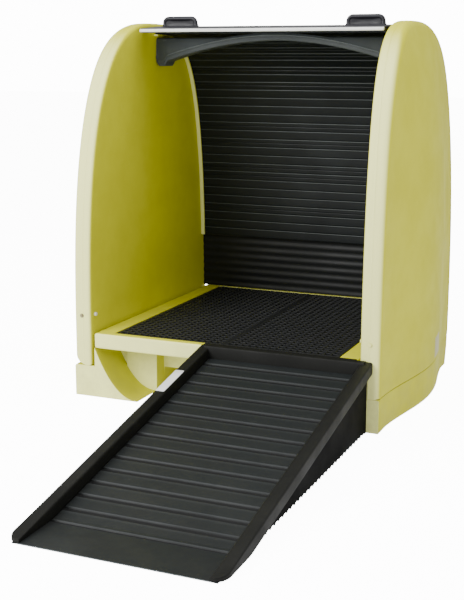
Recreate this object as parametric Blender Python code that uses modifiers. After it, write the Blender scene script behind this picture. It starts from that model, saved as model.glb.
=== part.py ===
"""Roll-top covered spill containment pallet with a loading ramp.

Metres, +Z up, the opening faces -Y, X to the right. The origin is on the floor in the
middle of the covered pallet. The roll door is shown stowed and the ramp is hooked on.
"""
import math

import bmesh
import bpy
from mathutils import Matrix, Vector

# Covered pallet, overall
BODY_DEPTH = 1.42          # front rim to rear rim of the side panels
BODY_HEIGHT = 1.90         # floor to the crown of the side panels
PANEL_OUT_X = 0.817        # outer front corner of a side panel, from the middle
PANEL_IN_X = 0.718         # inner face of a side panel at its foot
BULGE = 0.072              # how far the outer face swells past its corner line
SEAM_Z = 0.165             # where a side panel sits on the base
ARCH_POWER = 2.9           # squareness of the arched side view
IN_LEAN = 0.039            # inward lean of the inner face at the crown
OUT_LEAN = 0.050           # inward lean of the outer corner at the crown
LEAN_POWER = 4.0
PANEL_WALL = 0.006
RIM_ROUND_OUT = 0.028      # rounding of the rim on the outside
RIM_ROUND_IN = 0.018       # rounding of the rim on the inside
ARCH_STATIONS = 22         # stations from the foot of the arch to the crown
PILLOW_COLUMNS = 12        # columns across the swollen outer face

# Base
LIP_Z = 0.338              # top of the rim round the deck
LIP_FACE = 0.080           # height of the front lip
TRAY_X = 0.700
TRAY_Y = 0.700
SUMP_Y = 0.500             # outside face of the recessed sump wall
SUMP_X = 0.600
SUMP_WALL = 0.024
SUMP_FLOOR = 0.012
WELL_WALL = 0.014          # wall of the sump below the ledge
WELL_TOP_Z = 0.262         # underside of the ledge inside the sump
FLANK_WALL = 0.012
GRATE_X = 0.600
GRATE_Y = 0.655
GRATE_THICK = 0.038
LEDGE = 0.025              # width of the ledge that carries the grates
FORK_IN_X = 0.200
FORK_OUT_X = 0.450
FORK_Z = 0.115
FOOT_WALL = 0.010
FOOT_TOE_X = 0.456         # where the curved foot meets the floor
FOOT_DEPTH = 0.215
FOOT_RISE = 0.215          # height of the curved foot beside the panel
FOOT_CURVE = 1.4

# Deck grates
GRATE_COLUMNS = 8
GRATE_ROWS = 17
GRATE_EDGE = 0.026         # solid border round a grate
GRATE_BAR = 0.016          # bar between two holes
FIT = 0.0004               # gap left where one piece rests on the next

# Roll door
SLATS = 31
SLAT_PITCH = 0.0500
SLAT_GAP = 0.0022
SLAT_THICK = 0.009
SLAT_INSET = 0.052         # middle of the slats below the outline of the panels
SLAT_END_GAP = 0.006
TRACK_THICK = 0.010
TRACK_WIDTH = 0.024
WALL_INSET = 0.030         # middle of the rear wall below the outline
WALL_THICK = 0.006
WALL_STATIONS = 72
DOOR_PIVOT_Y = 0.7771      # far centre of the arc the leading rail follows
DOOR_PIVOT_Z = 0.7268
DOOR_RADIUS = 1.4531
DOOR_REST = math.radians(51.62)   # rise of the rail above the centre when stowed
RAIL_TILT = math.radians(86.0)   # direction the rail faces when stowed
RAIL_HALF = 0.656
RAIL_TALL = 0.200
RAIL_THICK = 0.022
SEAL_TALL = 0.016
SHOE_LONG = 0.070
SHOE_TALL = 0.016
HANDLE_X = 0.510
HANDLE_ALONG = 0.075       # from the middle of the rail towards its rear edge
HANDLE_WIDE = 0.205
HANDLE_RISE = 0.040
HANDLE_BAR = 0.0125

# Header beam
HEADER_Y = 0.010
HEADER_DEEP = 0.110
HEADER_UNDER = 0.0033      # gap between the header and the tracks over it
HEADER_END_Z = 1.675
HEADER_SPRING_Z = 1.700    # where the arch springs from the end blocks
HEADER_CROWN_Z = 1.807
HEADER_BLOCK = 0.060       # width of an end block
HEADER_CLEAR = 0.0006

# Ramp
RAMP_MID_X = 0.345
RAMP_WIDE = 0.875
RAMP_LONG = 1.700
RAMP_REAR_Y = -0.7115
RAMP_TOP = 0.345           # top of the curbs at the rear
CURB_TALL = 0.058
CURB_WIDE = 0.056
CURB_OVER = 0.024          # curbs stand out past the side walls
RAMP_SKIN = 0.014
TOE_TALL = 0.018
SIDE_WALL = 0.014
RIDGES = 15
RIDGE_TALL = 0.007
RIDGE_SIDE = 0.006         # run of a ridge's sloping side
RIDGE_WIDE = 0.030
TOE_PLATE = 0.210
HOOK_OVER = 0.048
HOOK_THICK = 0.012
SCALLOPS = 36
SCALLOP_TALL = 0.010

# Small parts
BOLT_R = 0.011
BOLT_TALL = 0.006
BOLT_OFF = 0.0008          # gap behind a bolt head
BOLT_Z = 0.426
LUG_Z = 0.430
LABEL_THICK = 0.0012
RAMP_LABEL_WIDE = 0.044
RAMP_LABEL_LONG = 0.220
RAMP_LABEL_RUN = 0.400
PANEL_LABEL_WIDE = 0.085
PANEL_LABEL_TALL = 0.105
PANEL_LABEL_Z = 0.235

A_HALF = BODY_DEPTH / 2
ARCH_RISE = BODY_HEIGHT - SEAM_Z

for old in list(bpy.data.objects):
    bpy.data.objects.remove(old, do_unlink=True)

pallet = bpy.data.collections.new("covered_spill_pallet")
cutters = bpy.data.collections.new("cutters")
bpy.context.scene.collection.children.link(pallet)
bpy.context.scene.collection.children.link(cutters)


def paint(name, colour, rough, metal=0.0):
    """A Principled material of one colour."""
    mat = bpy.data.materials.new(name)
    mat.use_nodes = True
    shader = mat.node_tree.nodes["Principled BSDF"]
    shader.inputs["Base Color"].default_value = (*colour, 1.0)
    shader.inputs["Roughness"].default_value = rough
    shader.inputs["Metallic"].default_value = metal
    mat.diffuse_color = (*colour, 1.0)
    return mat


YELLOW = (0.62, 0.58, 0.10)
BLACK = (0.020, 0.023, 0.026)


def place(obj, where, mat=None):
    """Put an object in a collection and give it its material."""
    where.objects.link(obj)
    if mat is not None:
        obj.data.materials.clear()
        obj.data.materials.append(mat)
    if where is cutters:
        obj.hide_render = True
        obj.display_type = "WIRE"
    return obj


def mesh_object(name, bm, where, mat=None):
    """Turn a bmesh into a placed object with faces turned outwards."""
    bmesh.ops.recalc_face_normals(bm, faces=bm.faces[:])
    data = bpy.data.meshes.new(name)
    bm.to_mesh(data)
    bm.free()
    return place(bpy.data.objects.new(name, data), where, mat)


def block(name, low, high, where, mat=None, bevel=0.0, segments=2):
    """A box between two corners, its edges rounded by a Bevel."""
    bm = bmesh.new()
    size = [h - l for l, h in zip(low, high)]
    mid = [(h + l) / 2 for l, h in zip(low, high)]
    bmesh.ops.create_cube(bm, size=1.0, matrix=Matrix.Diagonal((*size, 1.0)))
    obj = mesh_object(name, bm, where, mat)
    obj.location = mid
    if bevel:
        rounding = obj.modifiers.new("edges", "BEVEL")
        rounding.width = bevel
        rounding.segments = segments
    return obj


def pierced_plate(name, loops, thick, where, mat=None):
    """A plate with holes: closed 2D outlines (the first is the edge), extruded."""
    data = bpy.data.curves.new(name, "CURVE")
    data.dimensions = "2D"
    data.fill_mode = "BOTH"
    data.extrude = thick / 2
    for loop in loops:
        spline = data.splines.new("POLY")
        spline.points.add(len(loop) - 1)
        for point, (u, v) in zip(spline.points, loop):
            point.co = (u, v, 0.0, 1.0)
        spline.use_cyclic_u = True
    return frozen_curve(name, data, where, mat)


def frozen_curve(name, data, where, mat=None):
    """Turn curve data into a placed mesh object with its seams welded."""
    curve = bpy.data.objects.new(name + "_curve", data)
    bpy.context.scene.collection.objects.link(curve)
    bpy.context.view_layer.update()
    solid = bpy.data.meshes.new_from_object(curve)
    bpy.data.objects.remove(curve, do_unlink=True)
    bm = bmesh.new()
    bm.from_mesh(solid)
    bmesh.ops.remove_doubles(bm, verts=bm.verts[:], dist=0.00005)
    bpy.data.meshes.remove(solid)
    return mesh_object(name, bm, where, mat)


def outline_solid(name, loop, thick, where, mat=None):
    """A plate without holes: one flat outline, extruded."""
    bm = bmesh.new()
    face = bm.faces.new([bm.verts.new((u, v, -thick / 2)) for u, v in loop])
    grown = bmesh.ops.extrude_face_region(bm, geom=[face], use_keep_orig=True)
    tops = [item for item in grown["geom"] if isinstance(item, bmesh.types.BMVert)]
    bmesh.ops.translate(bm, verts=tops, vec=(0, 0, thick))
    return mesh_object(name, bm, where, mat)


def stand_side(obj, mid_x):
    """Turn a plate drawn in (y, z) so its thickness runs along X."""
    obj.matrix_world = Matrix(((0, 0, 1, mid_x), (1, 0, 0, 0), (0, 1, 0, 0), (0, 0, 0, 1)))
    return obj


def stand_front(obj, mid_y):
    """Turn a plate drawn in (x, z) so its thickness runs along Y."""
    obj.matrix_world = Matrix(((1, 0, 0, 0), (0, 0, -1, mid_y), (0, 1, 0, 0), (0, 0, 0, 1)))
    return obj


def join_on(obj, tool, how, name):
    """Add a Boolean that joins or cuts with another closed object."""
    step = obj.modifiers.new(name, "BOOLEAN")
    step.operation = how
    step.solver = "EXACT"
    step.object = tool
    return step


def lean(z):
    """How much of the inward lean is reached at a height."""
    return max(0.0, z / BODY_HEIGHT) ** LEAN_POWER


def inner_x(z):
    return PANEL_IN_X - IN_LEAN * lean(z)


def outer_x(z):
    return PANEL_OUT_X - OUT_LEAN * lean(z)


def bulge(y, z, half):
    """Swell of the outer face: a bell across the depth that fades towards the crown."""
    across = min(1.0, abs(y) / max(half, 1e-6))
    fade = 1.0 - lean(z) ** 2
    return BULGE * fade * math.cos(across * math.pi / 2) ** 2


def arch(turn, inset=0.0):
    """Point (y, z) of the side outline; turn runs 0 front foot, pi/2 crown, pi rear foot."""
    c, s = math.cos(turn), math.sin(turn)
    power = 2.0 / ARCH_POWER
    y = -(A_HALF - inset) * math.copysign(abs(c) ** power, c)
    z = SEAM_Z + (ARCH_RISE - inset) * max(s, 0.0) ** power
    return y, z


# ------------------------------------------------------------------ side panels
def panel_skin(side):
    """Open shell of one panel: rounded rim, swollen outer face, flat inner face."""
    bm = bmesh.new()
    rings = []
    total = 2 * ARCH_STATIONS
    for k in range(total + 1):
        turn = math.pi * k / total
        ring = []
        for corner in range(7):
            if corner < 3:
                angle = math.pi / 4 * corner
                inset = RIM_ROUND_IN * (1 - math.sin(angle))
                dx = RIM_ROUND_IN * (1 - math.cos(angle))
                y, z = arch(turn, inset)
                x = inner_x(z) + dx
            else:
                angle = math.pi / 4 * (corner - 3) * 2 / 3
                inset = RIM_ROUND_OUT * (1 - math.cos(angle))
                dx = RIM_ROUND_OUT * (1 - math.sin(angle))
                y, z = arch(turn, inset)
                x = outer_x(z) - dx
            ring.append(bm.verts.new((side * x, y, z)))
        rings.append(ring)
    for a, b in zip(rings, rings[1:]):
        for i in range(6):
            bm.faces.new((a[i], a[i + 1], b[i + 1], b[i]))
    for edge, columns in ((0, 2), (6, PILLOW_COLUMNS)):
        rows = []
        for k in range(ARCH_STATIONS):
            front = rings[k][edge]
            rear = rings[total - k][edge]
            row = [front]
            half = abs(front.co.y)
            for i in range(1, columns):
                y = front.co.y + (rear.co.y - front.co.y) * i / columns
                x = abs(front.co.x) + (bulge(y, front.co.z, half) if edge else 0.0)
                row.append(bm.verts.new((side * x, y, front.co.z)))
            row.append(rear)
            rows.append(row)
        for a, b in zip(rows, rows[1:]):
            for i in range(columns):
                bm.faces.new((a[i], b[i], b[i + 1], a[i + 1]))
        crown = rings[ARCH_STATIONS][edge]
        for i in range(columns):
            bm.faces.new((rows[-1][i], crown, rows[-1][i + 1]))
    return bm


yellow_panel = paint("yellow_polyethylene_panel", YELLOW, 0.42)
for side, word in ((-1, "left"), (1, "right")):
    panel = mesh_object("side_panel_" + word, panel_skin(side), pallet, yellow_panel)
    shell = panel.modifiers.new("wall", "SOLIDIFY")
    shell.thickness = PANEL_WALL
    shell.offset = -1.0
    shell.use_even_offset = True

# ------------------------------------------------------------------ base
def plan_row(side, inset):
    """Outline in plan of the skirt under one side panel."""
    points = []
    steps = 14
    for i in range(steps + 1):
        y = -A_HALF + BODY_DEPTH * i / steps
        x = PANEL_OUT_X + bulge(y, 0.0, A_HALF)
        points.append((side * (x - inset), y * (1 - inset / A_HALF)))
    return points


def skirt(side, inset, low, high, inner, name, where):
    """Upright solid under a side panel, out to the swollen outline."""
    row = plan_row(side, inset)
    edge = A_HALF - inset
    loop = [(side * inner, -edge)] + row + [(side * inner, edge)]
    solid = outline_solid(name, loop, high - low, where)
    solid.location = (0, 0, (low + high) / 2)
    return solid


base = block("base_sump", (-TRAY_X, -TRAY_Y, LIP_Z - LIP_FACE), (TRAY_X, TRAY_Y, LIP_Z), pallet,
             paint("yellow_polyethylene_base", YELLOW, 0.45), bevel=0.009)
body = block("sump_body", (-SUMP_X - 0.03, -SUMP_Y, 0.0), (SUMP_X + 0.03, SUMP_Y, LIP_Z - 0.02), cutters)
join_on(base, body, "UNION", "sump_body")
for side, word in ((-1, "left"), (1, "right")):
    flank = skirt(side, 0.001, 0.0, SEAM_Z - FIT, SUMP_X, "flank_" + word, cutters)
    join_on(base, flank, "UNION", "flank_" + word)
    web = block("web_" + word, (min(side * SUMP_X, side * (TRAY_X - 0.004)), -TRAY_Y + 0.012, 0.05),
                (max(side * SUMP_X, side * (TRAY_X - 0.004)), TRAY_Y - 0.012, LIP_Z - 0.03), cutters)
    join_on(base, web, "UNION", "web_" + word)
    for end, place_word in ((-1, "front"), (1, "rear")):
        gusset = []
        steps = 8
        for i in range(steps + 1):
            share = i / steps
            gusset.append((side * (FOOT_TOE_X + (TRAY_X - 0.010 - FOOT_TOE_X) * share),
                           FOOT_RISE * share ** FOOT_CURVE))
        gusset.append((side * (TRAY_X - 0.010), LIP_Z - LIP_FACE + 0.020))
        gusset.append((side * (TRAY_X - 0.006), SEAM_Z - 0.02))
        gusset.append((side * (TRAY_X + 0.06), SEAM_Z - 0.02))
        gusset.append((side * (TRAY_X + 0.06), 0.0))
        foot = outline_solid("foot_" + word + place_word, gusset, FOOT_DEPTH, cutters)
        stand_front(foot, end * (A_HALF - 0.008 - FOOT_DEPTH / 2))
        join_on(base, foot, "UNION", "foot_" + word + place_word)
grate_seat = block("grate_seat", (-GRATE_X - 0.002, -GRATE_Y - 0.002, LIP_Z - GRATE_THICK - FIT),
                   (GRATE_X + 0.002, GRATE_Y + 0.002, LIP_Z + 0.05), cutters)
join_on(base, grate_seat, "DIFFERENCE", "grate_seat")
well = block("sump_well", (-SUMP_X + SUMP_WALL, -SUMP_Y + SUMP_WALL, SUMP_FLOOR),
             (SUMP_X - SUMP_WALL, SUMP_Y - SUMP_WALL, LIP_Z - 0.01), cutters)
shelf = block("front_and_rear_shelf", (-SUMP_X + LEDGE, -GRATE_Y + LEDGE, LIP_Z - LIP_FACE + FOOT_WALL),
              (SUMP_X - LEDGE, GRATE_Y - LEDGE, LIP_Z - 0.005), cutters)
join_on(well, shelf, "UNION", "shelf")
undercut = block("sump_undercut", (-SUMP_X, -SUMP_Y + WELL_WALL, SUMP_FLOOR),
                 (SUMP_X, SUMP_Y - WELL_WALL, WELL_TOP_Z), cutters)
join_on(well, undercut, "UNION", "undercut")
web_mid = block("middle_web", (-0.012, -SUMP_Y - 0.1, -0.1),
                (0.012, SUMP_Y + 0.1, LIP_Z - GRATE_THICK - FIT), cutters)
for side, word in ((-1, "left"), (1, "right")):
    mid = side * (FORK_IN_X + FORK_OUT_X) / 2
    half = (FORK_OUT_X - FORK_IN_X) / 2
    hump = block("fork_hump_" + word, (mid - half - FOOT_WALL, -1.0, -0.1),
                 (mid + half + FOOT_WALL, 1.0, FORK_Z + FOOT_WALL), cutters)
    join_on(well, hump, "DIFFERENCE", "hump_" + word)
    block("fork_tunnel_" + word, (mid - half, -1.0, -0.1), (mid + half, 1.0, FORK_Z), cutters)
join_on(well, web_mid, "DIFFERENCE", "middle_web")
join_on(base, well, "DIFFERENCE", "sump_well")
for word in ("left", "right"):
    join_on(base, bpy.data.objects["fork_tunnel_" + word], "DIFFERENCE", "fork_tunnel_" + word)
for side, word in ((-1, "left"), (1, "right")):
    hollow = skirt(side, FLANK_WALL, -0.05, SEAM_Z - FLANK_WALL, SUMP_X + FLANK_WALL,
                   "flank_hollow_" + word, cutters)
    join_on(base, hollow, "DIFFERENCE", "flank_hollow_" + word)
    near_x, far_x = sorted((side * (SUMP_X + WELL_WALL), side * (TRAY_X - 0.018)))
    web_hollow = block("web_hollow_" + word, (near_x, -0.47, -0.06), (far_x, 0.47, LIP_Z - 0.045), cutters)
    join_on(base, web_hollow, "DIFFERENCE", "web_hollow_" + word)

# ------------------------------------------------------------------ deck grates
black_grate = paint("black_grate", (0.024, 0.026, 0.028), 0.5)
for side, word in ((-1, "left"), (1, "right")):
    low_x, high_x = 0.0005, GRATE_X
    loops = [[(low_x, -GRATE_Y), (high_x, -GRATE_Y), (high_x, GRATE_Y), (low_x, GRATE_Y)]]
    cell_x = (high_x - low_x - 2 * GRATE_EDGE + GRATE_BAR) / GRATE_COLUMNS
    cell_y = (2 * GRATE_Y - 2 * GRATE_EDGE + GRATE_BAR) / GRATE_ROWS
    for i in range(GRATE_COLUMNS):
        for j in range(GRATE_ROWS):
            x0 = low_x + GRATE_EDGE + i * cell_x
            y0 = -GRATE_Y + GRATE_EDGE + j * cell_y
            x1, y1 = x0 + cell_x - GRATE_BAR, y0 + cell_y - GRATE_BAR
            loops.append([(x0, y0), (x0, y1), (x1, y1), (x1, y0)])
    loops = [[(side * x, y) for x, y in loop] for loop in loops]
    grate = pierced_plate("deck_grate_" + word, loops, GRATE_THICK - FIT, pallet, black_grate)
    grate.location.z = LIP_Z - (GRATE_THICK - FIT) / 2

# ------------------------------------------------------------------ path of the slats
def path_by_length(inset, start_y, step, count):
    """Points along the inset arch, a fixed step apart, from the crown to the rear."""
    points = []
    samples = 4000
    previous = None
    travelled = 0.0
    target = 0.0
    for i in range(samples + 1):
        y, z = arch(math.pi * i / samples, inset)
        if previous is None:
            if y >= start_y:
                previous = (y, z)
                points.append(previous)
                target = step
            continue
        hop = math.hypot(y - previous[0], z - previous[1])
        while travelled + hop >= target and len(points) <= count:
            share = (target - travelled) / hop
            points.append((previous[0] + (y - previous[0]) * share,
                           previous[1] + (z - previous[1]) * share))
            target += step
        travelled += hop
        previous = (y, z)
    return points[:count + 1]


rail_y = DOOR_PIVOT_Y - DOOR_RADIUS * math.cos(DOOR_REST)
rail_z = DOOR_PIVOT_Z + DOOR_RADIUS * math.sin(DOOR_REST)
stow_start = rail_y + RAIL_TALL / 2 + 0.005
joints = path_by_length(SLAT_INSET, stow_start, SLAT_PITCH, SLATS)
black_slat = paint("black_slat", (0.016, 0.019, 0.020), 0.38)
for number, (a, b) in enumerate(zip(joints, joints[1:]), 1):
    mid_y, mid_z = (a[0] + b[0]) / 2, (a[1] + b[1]) / 2
    half_x = inner_x(mid_z) - SLAT_END_GAP
    name = "door_slat_%02d" % number
    slat = block(name, (-half_x, -(SLAT_PITCH - SLAT_GAP) / 2, -SLAT_THICK / 2),
                 (half_x, (SLAT_PITCH - SLAT_GAP) / 2, SLAT_THICK / 2), pallet, black_slat,
                 bevel=0.0025, segments=1)
    slat.location = (0, mid_y, mid_z)
    slat.rotation_euler.x = math.atan2(b[1] - a[1], b[0] - a[0])


def strip_loft(bm, stations, sections):
    """Closed strip through sections of equal point count, capped at both ends."""
    rows = [[bm.verts.new(p) for p in section] for section in sections]
    for a, b in zip(rows, rows[1:]):
        for i in range(stations):
            j = (i + 1) % stations
            bm.faces.new((a[i], a[j], b[j], b[i]))
    bm.faces.new(rows[0])
    bm.faces.new(list(reversed(rows[-1])))


def below(points, drop):
    """Offset a polyline of (y, z) points to its inner side by a mitred distance."""
    result = []
    for i, point in enumerate(points):
        before = points[max(i - 1, 0)]
        after = points[min(i + 1, len(points) - 1)]
        first = Vector((point[0] - before[0], point[1] - before[1]))
        second = Vector((after[0] - point[0], after[1] - point[1]))
        if first.length < 1e-9:
            first = second
        if second.length < 1e-9:
            second = first
        first.normalize()
        second.normalize()
        normal = Vector((first.y + second.y, -(first.x + second.x)))
        normal.normalize()
        stretch = 1.0 / max(0.5, normal.dot(Vector((first.y, -first.x))))
        result.append((point[0] + normal.x * drop * stretch, point[1] + normal.y * drop * stretch))
    return result


track_top = below(joints, SLAT_THICK / 2 + FIT)
track_low = below(joints, SLAT_THICK / 2 + FIT + TRACK_THICK)
for side, word in ((-1, "left"), (1, "right")):
    bm = bmesh.new()
    sections = []
    for top, low in zip(track_top, track_low):
        out_x = inner_x(top[1]) - FIT
        out_low = inner_x(low[1]) - FIT
        sections.append([(side * out_x, *top), (side * (out_x - TRACK_WIDTH), *top),
                         (side * (out_low - TRACK_WIDTH), *low), (side * out_low, *low)])
    strip_loft(bm, 4, sections)
    mesh_object("door_track_" + word, bm, pallet, yellow_panel)

# ------------------------------------------------------------------ rear wall
wall_path = []
for i in range(WALL_STATIONS + 1):
    turn = math.pi - math.pi / 2 * i / WALL_STATIONS
    y, z = arch(turn, WALL_INSET)
    if z >= LIP_Z + 0.012:
        wall_path.append((y, z))
wall_path.insert(0, (wall_path[0][0], LIP_Z + FIT))
wall_in = below(wall_path, -WALL_THICK / 2)
wall_out = below(wall_path, WALL_THICK / 2)
sections = []
for i, (one, two) in enumerate(zip(wall_in, wall_out)):
    sections.append([(inner_x(one[1]) - FIT, *one), (-inner_x(one[1]) + FIT, *one),
                     (-inner_x(two[1]) + FIT, *two), (inner_x(two[1]) - FIT, *two)])
bm = bmesh.new()
strip_loft(bm, 4, sections)
mesh_object("rear_wall", bm, pallet, paint("black_rear_wall", (0.018, 0.020, 0.022), 0.45))

# ------------------------------------------------------------------ leading rail, seal and handles
black_rail = paint("black_rail", BLACK, 0.4)
face_turn = RAIL_TILT - math.pi / 2
shoe_wide = inner_x(rail_z + SHOE_TALL / 2) - RAIL_HALF - 2 * FIT
rail_home = Matrix.Translation((0, rail_y, rail_z)) @ Matrix.Rotation(-face_turn, 4, "X")


def on_rail(obj, x, along, out):
    """Seat a piece on the rail: along runs down the door, out points away from it."""
    obj.matrix_world = rail_home @ Matrix.Translation((x, along, out))
    return obj


rail = block("leading_rail", (-RAIL_HALF, -RAIL_TALL / 2, -RAIL_THICK / 2),
             (RAIL_HALF, RAIL_TALL / 2, RAIL_THICK / 2), pallet, black_rail, bevel=0.004)
on_rail(rail, 0, 0, 0)
seal = block("edge_seal", (-RAIL_HALF, -SEAL_TALL / 2, -0.007), (RAIL_HALF, SEAL_TALL / 2, 0.007), pallet,
             paint("white_edge_seal", (0.80, 0.80, 0.78), 0.5), bevel=0.003)
on_rail(seal, 0, -RAIL_TALL / 2 - SEAL_TALL / 2 - FIT, 0)
for side, word in ((-1, "left"), (1, "right")):
    data = bpy.data.curves.new("handle_path", "CURVE")
    data.dimensions = "3D"
    data.bevel_depth = HANDLE_BAR
    data.bevel_resolution = 2
    data.use_fill_caps = True
    half = HANDLE_WIDE / 2 - HANDLE_BAR
    corner = 0.022
    path = [(-half, 0.0)]
    for turn in range(5):
        angle = math.pi / 2 * turn / 4
        path.append((-half + corner * (1 - math.cos(angle)), HANDLE_RISE - corner * (1 - math.sin(angle))))
    path += [(-x, up) for x, up in reversed(path)]
    spline = data.splines.new("POLY")
    spline.points.add(len(path) - 1)
    for point, (x, up) in zip(spline.points, path):
        point.co = (x, 0.0, up, 1.0)
    handle = frozen_curve("grab_handle_" + word, data, pallet, black_rail)
    shoe = block("guide_shoe_" + word, (-shoe_wide / 2, -SHOE_LONG / 2, -SHOE_TALL / 2),
                 (shoe_wide / 2, SHOE_LONG / 2, SHOE_TALL / 2), pallet, black_rail, bevel=0.003, segments=1)
    on_rail(shoe, side * (RAIL_HALF + FIT + shoe_wide / 2), 0.0, 0.0)
    on_rail(handle, side * HANDLE_X, HANDLE_ALONG, RAIL_THICK / 2 + FIT)

# ------------------------------------------------------------------ header beam
def slat_line_z(y):
    """Height of the middle of the slats above a distance from the middle."""
    share = abs(y) / (A_HALF - SLAT_INSET)
    return SEAM_Z + (ARCH_RISE - SLAT_INSET) * (1 - share ** ARCH_POWER) ** (1 / ARCH_POWER)


steps = 22
header_top = slat_line_z(HEADER_Y + HEADER_DEEP) - SLAT_THICK / 2 - TRACK_THICK - HEADER_UNDER
end_x = inner_x(HEADER_END_Z) - HEADER_CLEAR
spring_x = end_x - HEADER_BLOCK
bottom = [(-end_x, HEADER_END_Z), (-spring_x - 0.012, HEADER_END_Z)]
for i in range(steps + 1):
    share = -1 + 2 * i / steps
    fall = (HEADER_CROWN_Z - HEADER_SPRING_Z) * abs(share) ** 1.9
    bottom.append((spring_x * share, HEADER_CROWN_Z - fall))
bottom += [(spring_x + 0.012, HEADER_END_Z), (end_x, HEADER_END_Z)]
top_x = inner_x(header_top) - HEADER_CLEAR
loop = bottom + [(top_x, header_top), (-top_x, header_top)]
black_header = paint("black_header", (0.03, 0.034, 0.04), 0.42)
header = outline_solid("header_beam", loop, HEADER_DEEP, pallet, black_header)
stand_front(header, HEADER_Y + HEADER_DEEP / 2)

# ------------------------------------------------------------------ ramp
def ramp_z(run, drop=0.0):
    """Height of the curb top line at a distance ahead of the rear end."""
    return TOE_TALL + (RAMP_TOP - TOE_TALL) * (1 - run / RAMP_LONG) - drop


def ramp_y(run):
    return RAMP_REAR_Y - run


deck_drop = CURB_TALL
slope = (RAMP_TOP - TOE_TALL) / RAMP_LONG
toe_run = RAMP_LONG - TOE_PLATE
deck_start = 0.003
top_line = [(deck_start, ramp_z(deck_start, deck_drop))]
ridge_pitch = toe_run / RIDGES
for i in range(RIDGES):
    start = ridge_pitch * (i + 0.5) - RIDGE_WIDE / 2
    for run, rise in ((start, 0.0), (start + RIDGE_SIDE, RIDGE_TALL),
                      (start + RIDGE_WIDE - RIDGE_SIDE, RIDGE_TALL), (start + RIDGE_WIDE, 0.0)):
        top_line.append((run, max(ramp_z(run, deck_drop), 0.006) + rise))
toe_z = max(ramp_z(toe_run, deck_drop), 0.006)
top_line.append((toe_run, toe_z))
deck_loop = [(ramp_y(run), z) for run, z in top_line]
under_run = RAMP_LONG - (deck_drop + RAMP_SKIN - TOE_TALL) / slope
deck_loop += [(ramp_y(RAMP_LONG), 0.005), (ramp_y(RAMP_LONG), 0.0), (ramp_y(under_run), 0.0)]
deck_loop += [(ramp_y(deck_start), ramp_z(deck_start, deck_drop + RAMP_SKIN))]
inner_half = RAMP_WIDE / 2 - CURB_OVER
black_ramp = paint("black_ramp", (0.024, 0.027, 0.028), 0.55)
ramp = outline_solid("ramp_body", deck_loop, 2 * inner_half - 0.004, pallet, black_ramp)
stand_side(ramp, RAMP_MID_X)
for side, word in ((-1, "left"), (1, "right")):
    wall_start = 0.0015
    wall = [(ramp_y(wall_start), ramp_z(wall_start, 0.012))]
    wall += [(ramp_y(toe_run + 0.12), ramp_z(toe_run + 0.12, 0.012))]
    wall += [(ramp_y(toe_run + 0.12), 0.001)]
    pitch = (toe_run - 0.06) / SCALLOPS
    for i in range(SCALLOPS):
        start = toe_run - 0.02 - pitch * i
        for run, z in ((start, 0.001), (start - pitch * 0.2, SCALLOP_TALL),
                       (start - pitch * 0.5, SCALLOP_TALL), (start - pitch * 0.7, 0.001)):
            wall.append((ramp_y(run), z))
    wall.append((ramp_y(wall_start), 0.001))
    plate = outline_solid("ramp_side_" + word, wall, SIDE_WALL, cutters)
    stand_side(plate, RAMP_MID_X + side * (inner_half - SIDE_WALL / 2))
    join_on(ramp, plate, "UNION", "side_" + word)
    curb = [(ramp_y(0.0), RAMP_TOP), (ramp_y(RAMP_LONG - 0.10), ramp_z(RAMP_LONG - 0.10)),
            (ramp_y(RAMP_LONG - 0.002), 0.012), (ramp_y(RAMP_LONG - 0.002), 0.002),
            (ramp_y(RAMP_LONG - 0.10), 0.002),
            (ramp_y(RAMP_LONG - 0.30), max(0.002, ramp_z(RAMP_LONG - 0.30, CURB_TALL + 0.004))),
            (ramp_y(0.0), RAMP_TOP - CURB_TALL - 0.004)]
    rail_bar = outline_solid("ramp_curb_" + word, curb, CURB_WIDE, cutters)
    stand_side(rail_bar, RAMP_MID_X + side * (RAMP_WIDE / 2 - CURB_WIDE / 2))
    join_on(ramp, rail_bar, "UNION", "curb_" + word)
rear_web = block("ramp_rear_web", (RAMP_MID_X - inner_half + 0.003, RAMP_REAR_Y - 0.018, 0.060),
                 (RAMP_MID_X + inner_half - 0.003, RAMP_REAR_Y - 0.0045, RAMP_TOP - 0.070), cutters)
join_on(ramp, rear_web, "UNION", "rear_web")
hook_z = LIP_Z + FIT
hook_line = [(RAMP_REAR_Y - 0.034, RAMP_TOP - 0.072), (RAMP_REAR_Y - 0.001, RAMP_TOP - 0.072),
             (RAMP_REAR_Y - 0.001, hook_z), (RAMP_REAR_Y + HOOK_OVER, hook_z),
             (RAMP_REAR_Y + HOOK_OVER, hook_z + 0.004),
             (RAMP_REAR_Y + HOOK_OVER - 0.012, hook_z + HOOK_THICK),
             (RAMP_REAR_Y - 0.022, hook_z + HOOK_THICK), (RAMP_REAR_Y - 0.034, hook_z)]
hook_low_x = RAMP_MID_X - RAMP_WIDE / 2 + 0.020
hook_high_x = PANEL_IN_X - 0.030
hook = outline_solid("ramp_hook", hook_line, hook_high_x - hook_low_x, cutters)
stand_side(hook, (hook_low_x + hook_high_x) / 2)
join_on(ramp, hook, "UNION", "hook")

# ------------------------------------------------------------------ small parts
def stud(name, axis_turn, centre, radius, tall, mat, sides=6):
    """A short prism, such as a bolt head, standing on a face."""
    bm = bmesh.new()
    bmesh.ops.create_cone(bm, cap_ends=True, segments=sides, radius1=radius, radius2=radius * 0.92,
                          depth=tall)
    obj = mesh_object(name, bm, pallet, mat)
    obj.matrix_world = Matrix.Translation(centre) @ axis_turn
    return obj


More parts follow.
